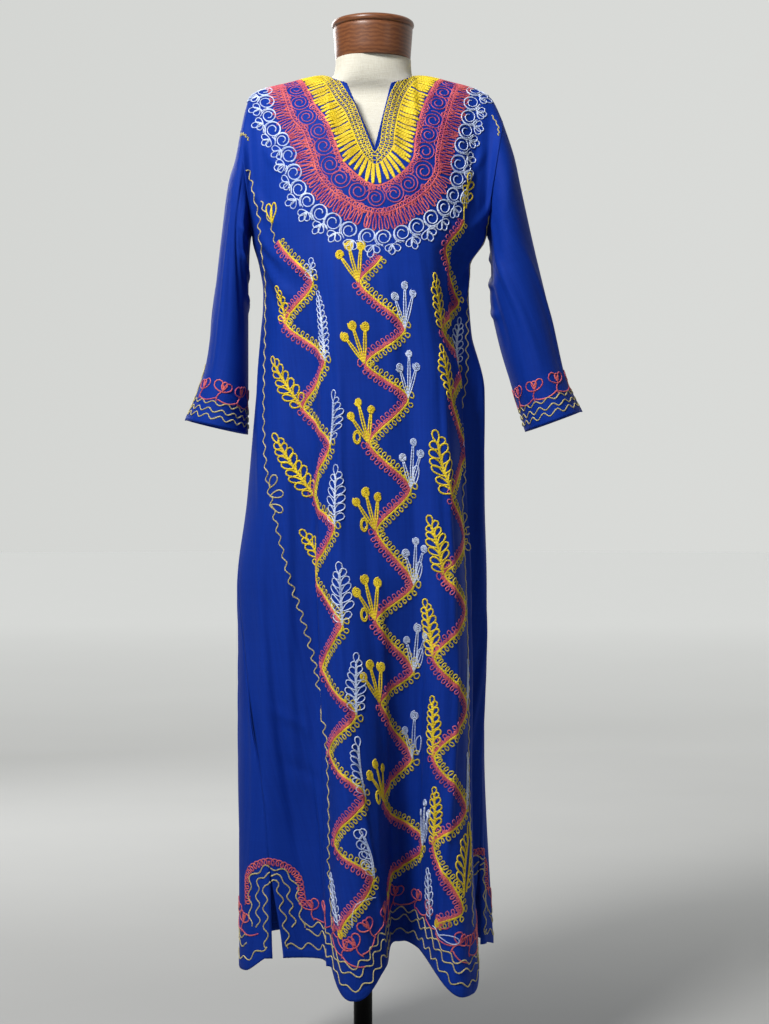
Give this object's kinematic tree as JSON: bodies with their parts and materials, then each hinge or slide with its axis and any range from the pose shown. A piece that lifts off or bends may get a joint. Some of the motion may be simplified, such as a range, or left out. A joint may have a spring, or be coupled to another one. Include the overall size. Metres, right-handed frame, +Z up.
{
  "type": "kaftan on a dress form",
  "caption": "Long straight blue cotton kaftan with a slit neck, three-quarter sleeves and chain-stitch embroidery, worn by a limbless linen dress form on a round base.",
  "frame": {"origin": "centre of the underside of the round base, where the stand rests on the floor", "axes": "+Z up along the pole, the front faces -Y, +X is on the viewer's right from the front"},
  "size_m": [0.6, 0.42, 1.5919],
  "materials": {
    "blue_cotton": "plain weave, matt with a soft sheen",
    "yellow_thread": "chain stitch",
    "coral_thread": "chain stitch",
    "white_thread": "chain stitch",
    "cream_thread": "fine chain stitch",
    "linen": "plain weave, matt",
    "wood": "stained and satin varnished",
    "black_iron": "satin black"
  },
  "bodies": {
    "root": {"kaftan_front": "blue_cotton", "kaftan_back": "blue_cotton", "kaftan_sleeve_left": "blue_cotton", "kaftan_sleeve_right": "blue_cotton", "form_torso": "linen", "form_neck_cap": "wood", "form_flange": "black_iron", "stand_pole": "black_iron", "stand_hub": "black_iron", "stand_base": "black_iron"}
  },
  "joints": []
}
